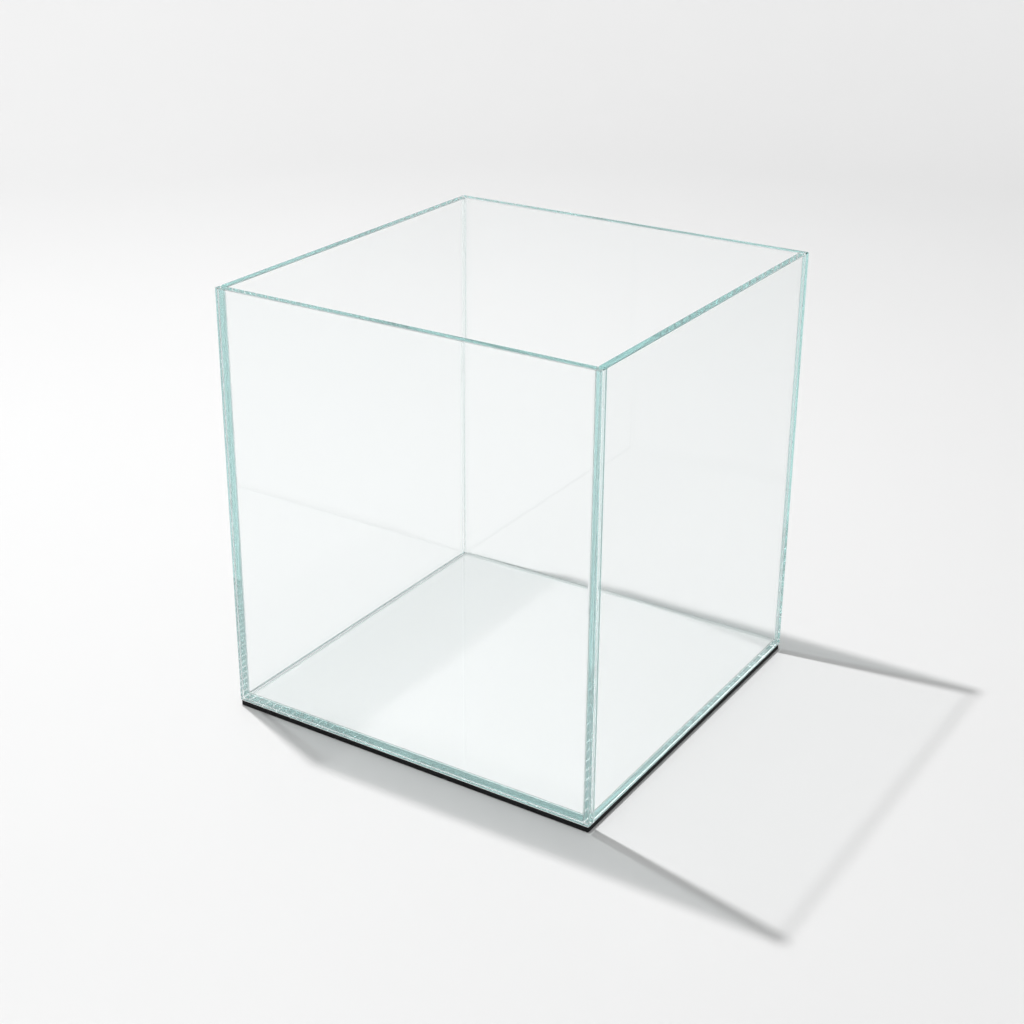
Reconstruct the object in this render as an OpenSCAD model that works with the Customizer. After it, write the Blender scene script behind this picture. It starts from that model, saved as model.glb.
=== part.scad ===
// Rimless open-topped glass aquarium on a thin levelling mat, in millimetres.
// The front and back panes run the full width and cover the ends of the side panes.
// The bottom pane lies inside the four walls, level with their lower edges.
// Origin: centre of the footprint at the underside of the mat. +Z is up, the front pane faces -Y.

/* [Tank] */
// Outside width, along X
tank_width = 300; // [200:5:450]
// Outside depth, along Y
tank_depth = 300; // [200:5:450]
// Height of the four walls
glass_height = 320; // [150:5:500]
// Thickness of every pane
glass_thickness = 6; // [5:0.5:12]
// Width of the ground chamfer on every pane edge
arris = 0.5; // [0.2:0.1:0.8]

/* [Silicone joints] */
// Thickness of the bond between two panes
bond_gap = 0.5; // [0.3:0.1:1]
// Leg of the triangular bead in each inner corner
bead_leg = 1.2; // [0.8:0.1:3]
// How far the upright beads stop below the rim
bead_end_gap = 1; // [0.5:0.5:5]

/* [Levelling mat] */
// Thickness of the black foam
foam_thickness = 4; // [2:0.5:6]
// Thickness of the white facing on the foam
facing_thickness = 0.4; // [0.3:0.1:1]
// How far the mat stays inside the outline of the glass
mat_inset = 0.5; // [0:0.1:2]

/* [Hidden] */

glass_color = [0.80, 0.93, 0.92];
silicone_color = [0.93, 0.95, 0.95];
facing_color = [0.96, 0.96, 0.96];
foam_color = [0.05, 0.05, 0.06];

// Levels, from the surface that the mat rests on
glass_base_z = foam_thickness + facing_thickness;
floor_top_z = glass_base_z + glass_thickness;
rim_z = glass_base_z + glass_height;

// Half sizes of the space inside the four walls
inner_x = tank_width / 2 - glass_thickness;
inner_y = tank_depth / 2 - glass_thickness;

// The panes that are held between others stop one bond short of them
side_pane_depth = 2 * (inner_y - bond_gap);
bottom_pane_width = 2 * (inner_x - bond_gap);
bottom_pane_depth = 2 * (inner_y - bond_gap);

// A cutting shape passes its target by this much
cut_margin = 1;

// Rectangle centred on the origin, with its four corners cut at 45 degrees
module chamfered_rectangle(width, depth, cut) {
    x = width / 2;
    y = depth / 2;
    polygon([
        [cut - x, -y], [x - cut, -y], [x, cut - y], [x, y - cut],
        [x - cut, y], [cut - x, y], [-x, y - cut], [-x, cut - y]
    ]);
}

// Box centred on the origin, with all twelve edges ground to a chamfer
module ground_box(size, cut) {
    intersection() {
        linear_extrude(height = size.z, center = true)
            chamfered_rectangle(size.x, size.y, cut);
        rotate([90, 0, 0])
            linear_extrude(height = size.y, center = true)
                chamfered_rectangle(size.x, size.z, cut);
        rotate([90, 0, 90])
            linear_extrude(height = size.x, center = true)
                chamfered_rectangle(size.y, size.z, cut);
    }
}

// Full-width wall. side is -1 for the front and 1 for the back
module long_wall(side) {
    color(glass_color)
        translate([0, side * (inner_y + glass_thickness / 2), glass_base_z + glass_height / 2])
            ground_box([tank_width, glass_thickness, glass_height], arris);
}

// Wall held between the long walls. side is -1 for the left and 1 for the right
module short_wall(side) {
    color(glass_color)
        translate([side * (inner_x + glass_thickness / 2), 0, glass_base_z + glass_height / 2])
            ground_box([glass_thickness, side_pane_depth, glass_height], arris);
}

module bottom_pane() {
    color(glass_color)
        translate([0, 0, glass_base_z + glass_thickness / 2])
            ground_box([bottom_pane_width, bottom_pane_depth, glass_thickness], arris);
}

// Bead section: a right-angled triangle in the corner of the +X and +Y axes
module bead_section(leg) {
    polygon([[0, 0], [leg, 0], [0, leg]]);
}

// Bead along the foot of a wall, in the wall's own frame: the wall's inner face is the plane
// y = 0, the bottom pane's upper face is z = 0, and the bead leans into +Y
module foot_bead(length) {
    rotate([90, 0, 90])
        linear_extrude(height = length, center = true)
            bead_section(bead_leg);
}

// Bond and bead between the bottom pane and a long wall, drawn for the front
module long_foot_joint() {
    translate([-bottom_pane_width / 2, -inner_y, glass_base_z])
        cube([bottom_pane_width, bond_gap, glass_thickness]);
    translate([0, -inner_y, floor_top_z])
        foot_bead(2 * inner_x);
}

// Bead along the foot of a short wall, drawn for the left
module short_foot_bead(leg_margin = 0) {
    translate([-inner_x, 0, floor_top_z])
        rotate([0, 0, -90])
            foot_bead(2 * inner_y + leg_margin);
}

// Joint between the bottom pane and a long wall. side is -1 for the front and 1 for the back
module long_bottom_seam(side) {
    color(silicone_color)
        rotate([0, 0, side < 0 ? 0 : 180])
            long_foot_joint();
}

// Joint between the bottom pane and a short wall, ending against the long walls' joints.
// side is -1 for the left and 1 for the right
module short_bottom_seam(side) {
    color(silicone_color)
        rotate([0, 0, side < 0 ? 0 : 180])
            difference() {
                union() {
                    translate([-inner_x, -inner_y, glass_base_z])
                        cube([bond_gap, 2 * inner_y, glass_thickness]);
                    short_foot_bead();
                }
                long_foot_joint();
                rotate([0, 0, 180])
                    long_foot_joint();
            }
}

// Upright joint, drawn for the front left corner: the bond between the long wall's inner face
// and the end of the short wall, and the bead that stands on the two beads at the foot
module upright_joint() {
    translate([-tank_width / 2, -inner_y, glass_base_z])
        cube([glass_thickness, bond_gap, glass_height]);
    difference() {
        translate([-inner_x, -inner_y, floor_top_z])
            linear_extrude(height = glass_height - glass_thickness - bead_end_gap)
                bead_section(bead_leg);
        translate([0, -inner_y, floor_top_z])
            foot_bead(2 * inner_x + 2 * cut_margin);
        short_foot_bead(2 * cut_margin);
    }
}

// side_x is -1 for left and 1 for right, side_y is -1 for front and 1 for back
module corner_seam(side_x, side_y) {
    color(silicone_color)
        mirror([side_x < 0 ? 0 : 1, 0, 0])
            mirror([0, side_y < 0 ? 0 : 1, 0])
                upright_joint();
}

// Flat sheet under the glass, set in from the outline of the walls
module mat_sheet(thickness) {
    translate([mat_inset - tank_width / 2, mat_inset - tank_depth / 2, 0])
        cube([tank_width - 2 * mat_inset, tank_depth - 2 * mat_inset, thickness]);
}

module mat_facing() {
    color(facing_color)
        translate([0, 0, foam_thickness])
            mat_sheet(facing_thickness);
}

module levelling_mat() {
    color(foam_color)
        mat_sheet(foam_thickness);
}

long_wall(-1);  // front_pane
long_wall(1);  // back_pane
short_wall(-1);  // left_pane
short_wall(1);  // right_pane
bottom_pane();
corner_seam(-1, -1);  // front_left_seam
corner_seam(1, -1);  // front_right_seam
corner_seam(-1, 1);  // back_left_seam
corner_seam(1, 1);  // back_right_seam
long_bottom_seam(-1);  // front_bottom_seam
long_bottom_seam(1);  // back_bottom_seam
short_bottom_seam(-1);  // left_bottom_seam
short_bottom_seam(1);  // right_bottom_seam
mat_facing();
levelling_mat();
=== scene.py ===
"""Looks for the rimless glass aquarium: ground and polished panes, silicone joints, mat and studio."""

from math import cos, pi, radians, sin

import bmesh
import bpy
from mathutils import Matrix, Vector, noise


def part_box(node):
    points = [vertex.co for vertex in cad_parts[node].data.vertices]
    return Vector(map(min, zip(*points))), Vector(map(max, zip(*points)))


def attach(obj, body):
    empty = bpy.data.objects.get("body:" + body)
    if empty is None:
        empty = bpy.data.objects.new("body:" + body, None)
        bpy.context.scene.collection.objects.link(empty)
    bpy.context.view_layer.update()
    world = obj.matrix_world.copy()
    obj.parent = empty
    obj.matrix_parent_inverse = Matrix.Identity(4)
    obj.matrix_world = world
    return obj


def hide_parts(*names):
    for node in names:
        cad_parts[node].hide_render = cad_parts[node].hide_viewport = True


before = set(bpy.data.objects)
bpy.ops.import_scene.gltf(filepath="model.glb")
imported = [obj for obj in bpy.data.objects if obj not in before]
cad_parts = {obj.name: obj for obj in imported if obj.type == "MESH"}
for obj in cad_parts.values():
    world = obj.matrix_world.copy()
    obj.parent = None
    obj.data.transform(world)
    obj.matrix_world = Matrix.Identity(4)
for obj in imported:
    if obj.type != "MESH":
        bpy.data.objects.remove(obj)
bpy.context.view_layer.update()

MM = 0.001
ROOT = "root"

# ---------------------------------------------------------------- places taken from the CAD frame
front_low, front_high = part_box("front_pane")
left_low, left_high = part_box("left_pane")
floor_low, floor_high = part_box("bottom_pane")
seam_low, seam_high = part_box("front_left_seam")

TANK_WIDTH = front_high.x - front_low.x
INNER_X = -left_high.x
INNER_Y = -front_high.y
GLASS_THICKNESS = left_high.x - left_low.x
BOND_GAP = left_low.y - front_high.y
BEAD_LEG = seam_high.x - left_high.x
BEAD_TOP = seam_high.z
FLOOR_TOP = floor_high.z

# ---------------------------------------------------------------- camera
# The camera's place is in tank widths from the middle of the footprint
CAMERA_AT = Vector((2.079, -3.313, 2.249))
CAMERA_HEADING = radians(123.14)
CAMERA_TILT = radians(-23.09)
CAMERA_ROLL = radians(0.08)
CAMERA_LENS_MM = 61.4
CAMERA_SHIFT = (0.0205, -0.044)

# ---------------------------------------------------------------- glass
ARRIS = 0.55 * MM
OUTLINE_STEP = 1.0 * MM
WAVE_DEPTH = 0.006 * MM
CHATTER_DEPTH = 0.06 * MM
# Waves and grinding marks in a metre of edge, and marks in a metre across it
WAVE_CYCLES = 20.0
CHATTER_CYCLES = 290.0
CROSS_CYCLES = 30.0
# Grinding marks are deep up to the first height on the tank and gone at the second. From left to
# right they fade to their least share between these two parts of the half width
CHATTER_HEIGHTS = (35 * MM, 105 * MM)
CHATTER_FADE = (-0.75, -0.1)
LEAST_CHATTER = 0.2
GLASS_IOR = 1.52
# How strongly the glass takes up light on its way, and the share of each colour that it spares
GLASS_DENSITY = 1.9
GLASS_TINT = (0.0, 0.71, 0.67)
FACE_COLOUR = (0.997, 1.0, 1.0)
EDGE_COLOUR = (0.93, 0.985, 0.98)
# What the attribute "ground" holds on a frosted arris and on a polished edge
FROSTED = 1.0
POLISHED = 0.6
# What one surface passes on: of the light from all round, of the lamp's light, and of the lamp's
# light at a narrow edge
ALL_ROUND_COLOUR = (0.987, 0.988, 0.988)
LAMP_COLOUR = (0.993, 0.988, 0.988)
EDGE_SHADE = (0.11, 0.12, 0.11)
# Share of the lamp's light that a surface stops as the light comes in more and more aslant
STOPPED_ASLANT = 0.80
STOPPED_POWER = 7.0

# ---------------------------------------------------------------- silicone
# How far silicone reaches into the glass it is bonded to, so that light crosses without an air gap
CONTACT = 0.06 * MM
# How far the bond stops short of the pane's outer face, the upright seam short of the rim, and a
# long foot seam short of the side panes
BOND_SHORT = 0.5 * MM
RIM_SHORT = 1.0 * MM
FOOT_SHORT = 0.03 * MM
# The bead's usual share of its full size, and the distance between its cross-sections
BEAD_SHARE = 0.94
SEAM_STEP = 3 * MM

# ---------------------------------------------------------------- mat
SHEET_CORNER_CUT = 0.6 * MM
SHEET_STEPS = 200
# Softened edge, depth of the pits in it, and the air left above the sheet
FACING_EDGE, FACING_PITS, FACING_GAP = 0.08 * MM, 0.04 * MM, 0.06 * MM
FOAM_EDGE, FOAM_PITS, FOAM_GAP = 0.25 * MM, 0.15 * MM, 0.01 * MM

# ---------------------------------------------------------------- studio
# The lamp's place is in tank widths too
KEY_AT = Vector((-2.152, 0.098, 6.603))
KEY_RADIUS = 0.032
KEY_STRENGTH = 59.8
WORLD_STRENGTH = 0.43
STAGE_FLAT_RADIUS = 1.7
STAGE_SWEEP_RADIUS = 1.0
STAGE_HEIGHT = 2.6
STAGE_DROP = 0.1 * MM
# The floor's colour, the darker painted shade on the wall that stands in for less light reaching the upper
# backdrop, and the two heights between which it changes
STAGE_COLOUR = 0.80
STAGE_WALL_PAINTED_SHADE = 0.42
STAGE_PAINTED_SHADE_HEIGHTS = (0.35, 1.5)


# ---------------------------------------------------------------- node helpers
def new_material(name):
    """An empty node material, its tree and its output."""
    material = bpy.data.materials.new(name)
    material.use_nodes = True
    tree = material.node_tree
    tree.nodes.clear()
    return material, tree, tree.nodes.new("ShaderNodeOutputMaterial")


def add(tree, kind, **settings):
    """A new node with these settings."""
    node = tree.nodes.new(kind)
    for key, value in settings.items():
        setattr(node, key, value)
    return node


def set_inputs(node, **values):
    """Sets sockets by name, with an underscore for each space."""
    for key, value in values.items():
        node.inputs[key.replace("_", " ")].default_value = value
    return node


def maths(tree, operation, a, b):
    """A Math node, where a and b are numbers or sockets."""
    node = add(tree, "ShaderNodeMath", operation=operation)
    for i, value in enumerate((a, b)):
        if isinstance(value, (int, float)):
            node.inputs[i].default_value = value
        else:
            tree.links.new(value, node.inputs[i])
    return node.outputs[0]


def mix_colour(tree, factor, a, b):
    """A colour between a and b, which are colours or sockets."""
    node = add(tree, "ShaderNodeMix", data_type="RGBA")
    tree.links.new(factor, node.inputs[0])
    sockets = [socket for socket in node.inputs if socket.type == "RGBA"]
    for socket, value in zip(sockets, (a, b)):
        if isinstance(value, tuple):
            socket.default_value = (*value, 1)
        else:
            tree.links.new(value, socket)
    return next(socket for socket in node.outputs if socket.type == "RGBA")


def noise_texture(tree, scale, detail=3.0, roughness=0.5, stretch=(1, 1, 1)):
    """Noise in the object's own space, in cycles per metre."""
    place = add(tree, "ShaderNodeTexCoord")
    mapping = add(tree, "ShaderNodeMapping")
    mapping.inputs["Scale"].default_value = stretch
    texture = add(tree, "ShaderNodeTexNoise")
    set_inputs(texture, Scale=scale, Detail=detail, Roughness=roughness)
    tree.links.new(place.outputs["Object"], mapping.inputs["Vector"])
    tree.links.new(mapping.outputs[0], texture.inputs["Vector"])
    return texture.outputs["Fac"]


def bump(tree, height, strength, distance):
    """A Bump node's normal."""
    node = add(tree, "ShaderNodeBump")
    set_inputs(node, Strength=strength, Distance=distance)
    tree.links.new(height, node.inputs["Height"])
    return node.outputs[0]


def let_light_through(tree, shader, lamp_light):
    """Clear pieces pass light on to the matt things around them. What they stop of a lamp's light
    is the shadow that they cast, and of the light from all round they stop hardly any."""
    rays = add(tree, "ShaderNodeLightPath")
    for kind in ("Is Diffuse Ray", "Is Shadow Ray"):
        clear = add(tree, "ShaderNodeBsdfTransparent")
        if kind == "Is Shadow Ray":
            tree.links.new(lamp_light, clear.inputs["Color"])
        else:
            clear.inputs["Color"].default_value = (*ALL_ROUND_COLOUR, 1)
        choice = add(tree, "ShaderNodeMixShader")
        tree.links.new(rays.outputs[kind], choice.inputs[0])
        tree.links.new(shader, choice.inputs[1])
        tree.links.new(clear.outputs[0], choice.inputs[2])
        shader = choice.outputs[0]
    return shader


def passed_light(tree, head_on, aslant):
    """The colour that lets light through, from its slant on the surface."""
    weight = add(tree, "ShaderNodeLayerWeight")
    weight.inputs["Blend"].default_value = 0.5
    slant = maths(tree, "POWER", weight.outputs["Facing"], STOPPED_POWER)
    stopped = maths(tree, "MULTIPLY", slant, STOPPED_ASLANT)
    return mix_colour(tree, stopped, head_on, aslant)


# ---------------------------------------------------------------- materials
def glass_material():
    """Low-iron glass: clear faces, and teal where the light runs along inside the pane."""
    material, tree, output = new_material("low_iron_glass")
    ground = add(tree, "ShaderNodeAttribute", attribute_name="ground")
    glass = add(tree, "ShaderNodeBsdfPrincipled")
    set_inputs(glass, IOR=GLASS_IOR, Transmission_Weight=1.0)
    tint = mix_colour(tree, ground.outputs["Fac"], FACE_COLOUR, EDGE_COLOUR)
    tree.links.new(tint, glass.inputs["Base Color"])
    # Arrises hold 1 in the attribute and are frosted, the polished edges hold less
    frost = maths(tree, "MULTIPLY", maths(tree, "POWER", ground.outputs["Fac"], 8.0), 0.9)
    haze = maths(tree, "ADD", maths(tree, "MULTIPLY", noise_texture(tree, 900.0), 0.02), 0.015)
    haze = maths(tree, "MULTIPLY", haze, ground.outputs["Fac"])
    tree.links.new(maths(tree, "ADD", frost, haze), glass.inputs["Roughness"])
    grind = maths(tree, "MULTIPLY", noise_texture(tree, 420.0, detail=4.0), ground.outputs["Fac"])
    tree.links.new(bump(tree, grind, 0.008, 0.05 * MM), glass.inputs["Normal"])
    through = passed_light(tree, LAMP_COLOUR, (0.0, 0.0, 0.0))
    # What goes in at a narrow edge stays inside the pane, so the edge casts a shadow
    shade = add(tree, "ShaderNodeAttribute", attribute_name="shade")
    through = mix_colour(tree, shade.outputs["Fac"], through, EDGE_SHADE)
    tree.links.new(let_light_through(tree, glass.outputs[0], through), output.inputs["Surface"])
    volume = add(tree, "ShaderNodeVolumeAbsorption")
    set_inputs(volume, Color=(*GLASS_TINT, 1), Density=GLASS_DENSITY)
    tree.links.new(volume.outputs[0], output.inputs["Volume"])
    return material


def silicone_material():
    """Clear cured silicone: a little milky, with a soft uneven skin."""
    material, tree, output = new_material("clear_silicone")
    silicone = add(tree, "ShaderNodeBsdfPrincipled")
    set_inputs(silicone, IOR=1.41, Transmission_Weight=0.97)
    cloud = noise_texture(tree, 260.0, detail=4.0)
    colour = mix_colour(tree, cloud, (0.98, 0.992, 0.992), (0.992, 0.998, 0.998))
    tree.links.new(colour, silicone.inputs["Base Color"])
    tree.links.new(maths(tree, "MULTIPLY", cloud, 0.02), silicone.inputs["Roughness"])
    skin = noise_texture(tree, 500.0, detail=2.0)
    tree.links.new(bump(tree, skin, 0.05, 0.08 * MM), silicone.inputs["Normal"])
    through = passed_light(tree, (0.93, 0.95, 0.95), (0.1, 0.1, 0.1))
    tree.links.new(let_light_through(tree, silicone.outputs[0], through), output.inputs["Surface"])
    return material


def foam_material():
    """Black closed-cell foam, matt and finely pitted."""
    material, tree, output = new_material("black_foam")
    foam = add(tree, "ShaderNodeBsdfPrincipled")
    set_inputs(foam, Specular_IOR_Level=0.25)
    cells = noise_texture(tree, 1400.0, detail=2.0, roughness=0.7)
    colour = mix_colour(tree, cells, (0.003, 0.0035, 0.004), (0.012, 0.013, 0.014))
    tree.links.new(colour, foam.inputs["Base Color"])
    tree.links.new(maths(tree, "ADD", maths(tree, "MULTIPLY", cells, 0.25), 0.65), foam.inputs["Roughness"])
    tree.links.new(bump(tree, cells, 0.6, 0.15 * MM), foam.inputs["Normal"])
    tree.links.new(foam.outputs[0], output.inputs["Surface"])
    return material


def facing_material():
    """Smooth white facing with a faint calendered grain."""
    material, tree, output = new_material("white_facing")
    facing = add(tree, "ShaderNodeBsdfPrincipled")
    grain = noise_texture(tree, 700.0, detail=3.0)
    colour = mix_colour(tree, grain, (0.862, 0.862, 0.862), (0.878, 0.878, 0.878))
    tree.links.new(colour, facing.inputs["Base Color"])
    tree.links.new(maths(tree, "ADD", maths(tree, "MULTIPLY", grain, 0.15), 0.45), facing.inputs["Roughness"])
    tree.links.new(bump(tree, grain, 0.2, 0.04 * MM), facing.inputs["Normal"])
    tree.links.new(facing.outputs[0], output.inputs["Surface"])
    return material


def stage_material():
    """Pale studio floor with a slight sheen. The wall above it is painted darker, as painted shade for less
    light reaching the upper backdrop.
    """
    material, tree, output = new_material("studio_floor")
    paper = add(tree, "ShaderNodeBsdfPrincipled")
    set_inputs(paper, Roughness=0.42, Specular_IOR_Level=0.25)
    grain = noise_texture(tree, 3.0, detail=2.0)
    floor = mix_colour(tree, grain, (STAGE_COLOUR * 0.99,) * 3, (STAGE_COLOUR * 1.01,) * 3)
    place = add(tree, "ShaderNodeTexCoord")
    height = add(tree, "ShaderNodeSeparateXYZ")
    tree.links.new(place.outputs["Object"], height.inputs[0])
    # Painted shade: between the two heights the colour darkens from the floor's to the wall's
    fade = add(tree, "ShaderNodeMapRange", interpolation_type="SMOOTHSTEP")
    tree.links.new(height.outputs["Z"], fade.inputs["Value"])
    fade.inputs["From Min"].default_value, fade.inputs["From Max"].default_value = STAGE_PAINTED_SHADE_HEIGHTS
    colour = mix_colour(tree, fade.outputs["Result"], floor, (STAGE_WALL_PAINTED_SHADE,) * 3)
    tree.links.new(colour, paper.inputs["Base Color"])
    tree.links.new(paper.outputs[0], output.inputs["Surface"])
    return material


# ---------------------------------------------------------------- mesh helpers
def add_object(name, mesh, material):
    """Puts a finished mesh into the scene with its material."""
    obj = bpy.data.objects.new(name, mesh)
    bpy.context.scene.collection.objects.link(obj)
    mesh.materials.append(material)
    return obj


def rings_to_mesh(name, rings, place, values=None):
    """A closed solid from rings of points, with a flat cap on each end. values(level, i) says what
    the faces between two rings hold in the attributes "ground" and "shade"."""
    bm = bmesh.new()
    layers = [bm.faces.layers.float.new(key) for key in ("ground", "shade")] if values else ()
    rows = [[bm.verts.new(place(point)) for point in ring] for ring in rings]
    count = len(rows[0])
    for level, (lower, upper) in enumerate(zip(rows, rows[1:])):
        for i in range(count):
            j = (i + 1) % count
            face = bm.faces.new((lower[i], lower[j], upper[j], upper[i]))
            face.smooth = True
            for layer, value in zip(layers, values(level, i) if values else ()):
                face[layer] = value
    bm.faces.new(list(reversed(rows[0])))
    bm.faces.new(rows[-1])
    bmesh.ops.recalc_face_normals(bm, faces=bm.faces[:])
    mesh = bpy.data.meshes.new(name)
    bm.to_mesh(mesh)
    bm.free()
    mesh.set_sharp_from_angle(angle=radians(22))
    return mesh


def cut_rectangle(low, high, inset, cut, counts):
    """The outline of a rectangle with cut corners: each point, its outward direction and its side."""
    a = (low[0] + inset, low[1] + inset)
    b = (high[0] - inset, high[1] - inset)
    sides = (
        ((a[0] + cut, a[1]), (b[0] - cut, a[1]), (0, -1), counts[0]),
        ((b[0], a[1] + cut), (b[0], b[1] - cut), (1, 0), counts[1]),
        ((b[0] - cut, b[1]), (a[0] + cut, b[1]), (0, 1), counts[0]),
        ((a[0], b[1] - cut), (a[0], a[1] + cut), (-1, 0), counts[1]),
    )
    points = []
    for side, (start, end, outward, count) in enumerate(sides):
        for i in range(count + 1):
            t = i / count
            point = (start[0] + (end[0] - start[0]) * t, start[1] + (end[1] - start[1]) * t)
            points.append((point, outward, side))
    return points


def smooth_step(value, start, end):
    """0 before start, 1 after end, and an even change between them."""
    t = min(1.0, max(0.0, (value - start) / (end - start)))
    return t * t * (3 - 2 * t)


def wear(spot):
    """How deep the grinding marks are at a place: deepest low down on the left."""
    low_down = 1 - smooth_step(spot.z, *CHATTER_HEIGHTS)
    near_left = 1 - smooth_step(spot.x, *(INNER_X * part for part in CHATTER_FADE))
    return low_down * (LEAST_CHATTER + (1 - LEAST_CHATTER) * near_left)


def marks(along, across, spot, worn):
    """How far an edge is cut in at a place, in metres: a slow wave, and slanted marks if it's worn."""
    slow = noise.noise(Vector((along * WAVE_CYCLES, 0.0, spot.x)))
    if not worn:
        return -WAVE_DEPTH * (1 + slow)
    slanted = (along + across) * CHATTER_CYCLES
    fine = noise.noise(Vector((slanted, across * CROSS_CYCLES, spot.x + spot.y)))
    return -WAVE_DEPTH * (1 + slow) - CHATTER_DEPTH * wear(spot) * (1 + fine)


# ---------------------------------------------------------------- panes
def pane(name, node, material, shades, worn):
    """One pane with its arrises and ground edges. The sides of its outline are, in order, low on the
    second axis, high on the first, high on the second and low on the first. shades says how much of a
    shadow each of these narrow edges casts, and worn lists the ones with grinding marks."""
    low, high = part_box(node)
    size = high - low
    thin = min(range(3), key=lambda axis: size[axis])
    u, v = [axis for axis in range(3) if axis != thin]
    counts = (round(size[u] / OUTLINE_STEP), round(size[v] / OUTLINE_STEP))
    half = size[thin] / 2
    middle = (low[thin] + high[thin]) / 2
    # Level through the thickness, how far the outline is set in, and how much of the marks it has
    levels = (
        (-half, ARRIS, 0.5), (ARRIS - half, 0, 1), (-half / 3, 0, 1),
        (half / 3, 0, 1), (half - ARRIS, 0, 1), (half, ARRIS, 0.5),
    )

    def place(point):
        spot = Vector((0, 0, 0))
        spot[u], spot[v], spot[thin] = point
        return spot

    sides = []
    rings = []
    for level, inset, share in levels:
        ring = []
        outline = cut_rectangle((low[u], low[v]), (high[u], high[v]), inset, ARRIS, counts)
        sides = [side for _, _, side in outline]
        for point, outward, side in outline:
            along = point[1] if side in (1, 3) else point[0]
            cut = share * marks(along, level, place((*point, middle + level)), side in worn)
            ring.append((point[0] + outward[0] * cut, point[1] + outward[1] * cut, middle + level))
        rings.append(ring)

    def values(level, i):
        arris = level in (0, len(levels) - 2)
        return (FROSTED if arris else POLISHED), shades[sides[i]]

    mesh = rings_to_mesh(name, rings, place, values)
    piece = add_object(name, mesh, material)
    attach(piece, ROOT)
    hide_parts(node)
    return piece


# ---------------------------------------------------------------- silicone
def hollow_corner(leg, steps=6):
    """The hollow face of a bead, from its toe along the first axis to its toe along the second."""
    angles = [pi * 1.5 - pi / 2 * i / steps for i in range(steps + 1)]
    return [(leg + leg * cos(angle), leg + leg * sin(angle)) for angle in angles]


def uneven(place, share):
    """A hand-tooled bead's size at a place, around 1."""
    return 1 + share * noise.noise(place * 60.0) + share / 2 * noise.noise(place * 190.0)


def seam_section(leg, bond_depth, bond_gap):
    """Bond and bead in one outline. The bond reaches back along the first axis and fills the arris
    of the pane that it holds."""
    filled = max(leg, bond_gap + ARRIS)
    bond_top = bond_gap + CONTACT
    return [
        (-bond_depth, -CONTACT), (leg, -CONTACT), *hollow_corner(leg), (-CONTACT, filled),
        (-CONTACT - ARRIS, bond_top), (-bond_depth, bond_top),
    ]


def seam(name, node, material, start, end, first, second):
    """A silicone joint along a straight line. first and second point out of the inner corner."""
    along = end - start
    count = round(along.length / SEAM_STEP)
    rings = []
    for i in range(count + 1):
        spot = start + along * (i / count)
        leg = BEAD_LEG * min(1.0, BEAD_SHARE * uneven(spot, 0.06))
        depth = GLASS_THICKNESS - BOND_SHORT * uneven(spot, 0.3)
        section = seam_section(leg, depth, BOND_GAP)
        rings.append([spot + first * p + second * q for p, q in section])
    piece = add_object(name, rings_to_mesh(name, rings, Vector), material)
    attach(piece, ROOT)
    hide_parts(node)
    return piece


def upright_seams(material):
    """The four corner joints."""
    for side_x, side_y, node in (
        (-1, -1, "front_left_seam"), (1, -1, "front_right_seam"),
        (-1, 1, "back_left_seam"), (1, 1, "back_right_seam"),
    ):
        foot = Vector((side_x * INNER_X, side_y * INNER_Y, FLOOR_TOP + BEAD_LEG))
        top = Vector((foot.x, foot.y, BEAD_TOP - RIM_SHORT))
        inwards_x, inwards_y = Vector((-side_x, 0, 0)), Vector((0, -side_y, 0))
        seam(node + "_silicone", node, material, foot, top, inwards_x, inwards_y)


def foot_seams(material):
    """The four joints round the bottom pane. Their bonds reach down beside its edges."""
    up = Vector((0, 0, 1))
    reach = INNER_Y - BEAD_LEG
    for side, node in ((-1, "front_bottom_seam"), (1, "back_bottom_seam")):
        start = Vector((-INNER_X + FOOT_SHORT, side * INNER_Y, FLOOR_TOP))
        end = Vector((INNER_X - FOOT_SHORT, side * INNER_Y, FLOOR_TOP))
        seam(node + "_silicone", node, material, start, end, up, Vector((0, -side, 0)))
    for side, node in ((-1, "left_bottom_seam"), (1, "right_bottom_seam")):
        start = Vector((side * INNER_X, -reach, FLOOR_TOP))
        end = Vector((side * INNER_X, reach, FLOOR_TOP))
        seam(node + "_silicone", node, material, start, end, up, Vector((-side, 0, 0)))


# ---------------------------------------------------------------- mat
def sheet_piece(name, node, material, edge, pits, gap_above):
    """A flat sheet with softened, slightly uneven cut edges."""
    low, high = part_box(node)
    top = high.z - gap_above
    counts = (SHEET_STEPS, SHEET_STEPS)
    levels = (
        (low.z, edge), (low.z + edge, 0), (low.z + (top - low.z) * 0.5, 0),
        (top - edge, 0), (top, edge),
    )
    rings = []
    for level, inset in levels:
        ring = []
        for point, outward, _ in cut_rectangle(low.xy, high.xy, inset, SHEET_CORNER_CUT, counts):
            spot = Vector((*point, level))
            cut = -pits * (1 + noise.noise(spot * 420.0)) / 2
            ring.append((point[0] + outward[0] * cut, point[1] + outward[1] * cut, level))
        rings.append(ring)
    piece = add_object(name, rings_to_mesh(name, rings, Vector), material)
    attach(piece, ROOT)
    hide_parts(node)
    return piece


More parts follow.
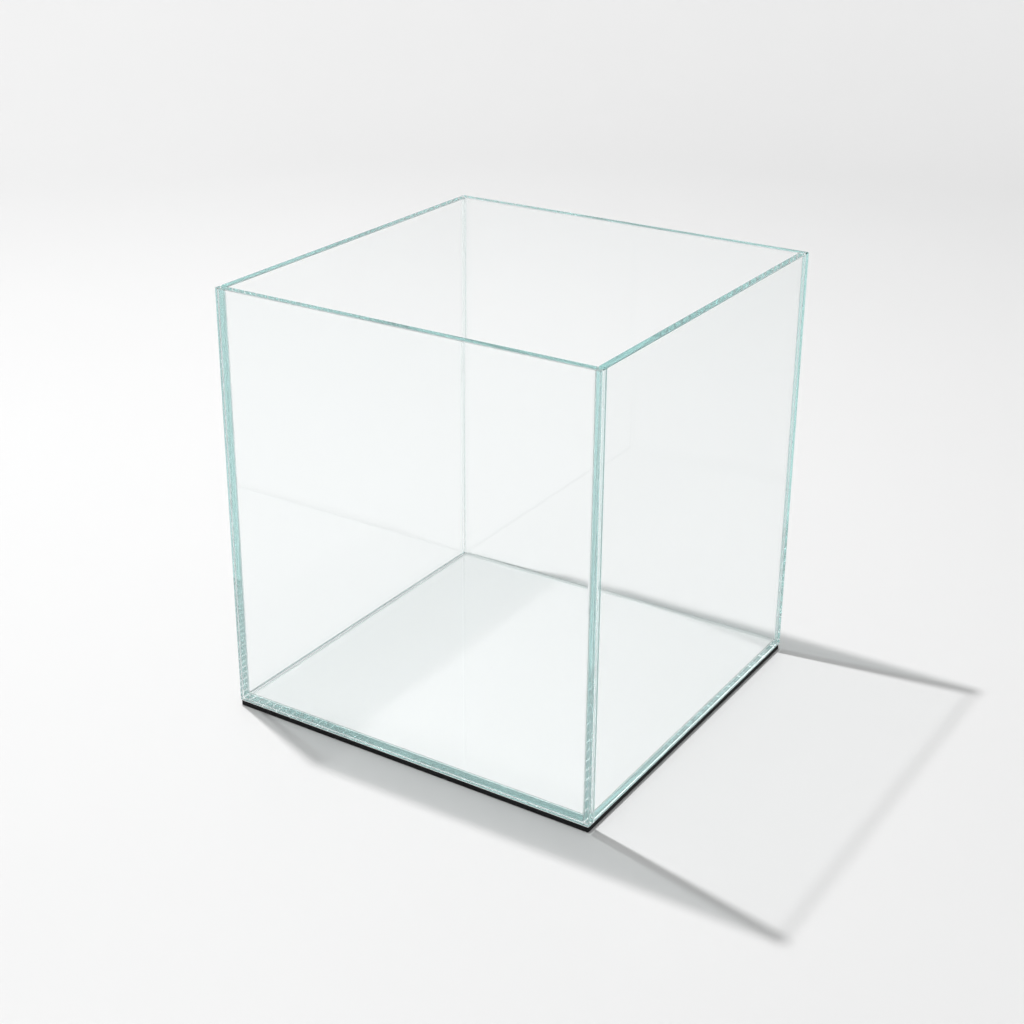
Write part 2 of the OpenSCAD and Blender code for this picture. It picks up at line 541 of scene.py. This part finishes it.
# ---------------------------------------------------------------- studio
def make_camera():
    """The camera at the viewing angle of the reference."""
    data = bpy.data.cameras.new("camera")
    data.sensor_width = 36.0
    data.lens = CAMERA_LENS_MM
    data.shift_x, data.shift_y = CAMERA_SHIFT
    data.clip_start, data.clip_end = 0.05, 50.0
    camera = bpy.data.objects.new("camera", data)
    bpy.context.scene.collection.objects.link(camera)
    forward = Vector((
        cos(CAMERA_TILT) * cos(CAMERA_HEADING), cos(CAMERA_TILT) * sin(CAMERA_HEADING), sin(CAMERA_TILT),
    ))
    level = forward.cross(Vector((0, 0, 1))).normalized()
    upright = level.cross(forward)
    right = level * cos(CAMERA_ROLL) + upright * sin(CAMERA_ROLL)
    up = upright * cos(CAMERA_ROLL) - level * sin(CAMERA_ROLL)
    turn = Matrix((right, up, -forward)).transposed()
    camera.matrix_world = Matrix.Translation(CAMERA_AT * TANK_WIDTH) @ turn.to_4x4()
    bpy.context.scene.camera = camera


def make_key_light():
    """A small lamp up on the left, whose light fades slowly over the set."""
    data = bpy.data.lights.new("key", "POINT")
    data.shadow_soft_size = KEY_RADIUS
    data.energy = 1.0
    data.use_nodes = True
    tree = data.node_tree
    falloff = add(tree, "ShaderNodeLightFalloff")
    falloff.inputs["Strength"].default_value = KEY_STRENGTH
    glow = next(node for node in tree.nodes if node.type == "EMISSION")
    tree.links.new(falloff.outputs["Linear"], glow.inputs["Strength"])
    key = bpy.data.objects.new("key", data)
    key.location = KEY_AT * TANK_WIDTH
    bpy.context.scene.collection.objects.link(key)


def make_world():
    """Soft white light from all round."""
    world = bpy.data.worlds.new("studio")
    bpy.context.scene.world = world
    world.use_nodes = True
    back = world.node_tree.nodes["Background"]
    back.inputs["Color"].default_value = (1.0, 1.0, 1.0, 1)
    back.inputs["Strength"].default_value = WORLD_STRENGTH


def make_stage(material):
    """A round floor that sweeps up into a wall, so that every view sees the same backdrop."""
    flat_steps, sweep_steps, segments = 8, 24, 96
    profile = [(STAGE_FLAT_RADIUS * i / flat_steps, 0.0) for i in range(1, flat_steps)]
    for angle in [pi / 2 * i / sweep_steps for i in range(sweep_steps + 1)]:
        radius = STAGE_FLAT_RADIUS + STAGE_SWEEP_RADIUS * sin(angle)
        profile.append((radius, STAGE_SWEEP_RADIUS * (1 - cos(angle))))
    profile.append((STAGE_FLAT_RADIUS + STAGE_SWEEP_RADIUS, STAGE_HEIGHT))
    bm = bmesh.new()
    rows = []
    for radius, height in profile:
        turns = [2 * pi * k / segments for k in range(segments)]
        rows.append([bm.verts.new((radius * cos(a), radius * sin(a), height - STAGE_DROP)) for a in turns])
    bm.faces.new(rows[0])
    for inner, outer in zip(rows, rows[1:]):
        for k in range(segments):
            j = (k + 1) % segments
            bm.faces.new((inner[k], outer[k], outer[j], inner[j])).smooth = True
    mesh = bpy.data.meshes.new("studio_floor")
    bm.to_mesh(mesh)
    bm.free()
    add_object("studio_floor", mesh, material)


def set_up_light_paths():
    """Light runs a long way inside a pane before it comes out of an edge."""
    scene = bpy.context.scene
    scene.cycles.max_bounces = 72
    scene.cycles.glossy_bounces = 72
    scene.cycles.transmission_bounces = 72
    scene.cycles.transparent_max_bounces = 48
    scene.view_settings.view_transform = "Standard"


# ---------------------------------------------------------------- the scene
def build():
    make_camera()
    glass = glass_material()
    # The white facing and the clear floor spread the light inside, so the left rim's shadow is faint
    # and that of the front left end is paler. The bottom pane's edges are bonded, so they cast none
    pane("front_pane_glass", "front_pane", glass, shades=(0, 1, 0.35, 0.6), worn=(1, 3))
    pane("back_pane_glass", "back_pane", glass, shades=(0, 1, 0.35, 1), worn=(1, 3))
    pane("left_pane_glass", "left_pane", glass, shades=(0, 1, 0.05, 1), worn=(1, 3))
    pane("right_pane_glass", "right_pane", glass, shades=(0, 1, 0.35, 1), worn=(1, 3))
    pane("bottom_pane_glass", "bottom_pane", glass, shades=(0, 0, 0, 0), worn=())
    silicone = silicone_material()
    upright_seams(silicone)
    foot_seams(silicone)
    sheet_piece(
        "mat_facing_sheet", "mat_facing", facing_material(),
        edge=FACING_EDGE, pits=FACING_PITS, gap_above=FACING_GAP,
    )
    foam = sheet_piece(
        "levelling_mat_foam", "levelling_mat", foam_material(),
        edge=FOAM_EDGE, pits=FOAM_PITS, gap_above=FOAM_GAP,
    )
    make_stage(stage_material())
    make_world()
    make_key_light()
    set_up_light_paths()


build()
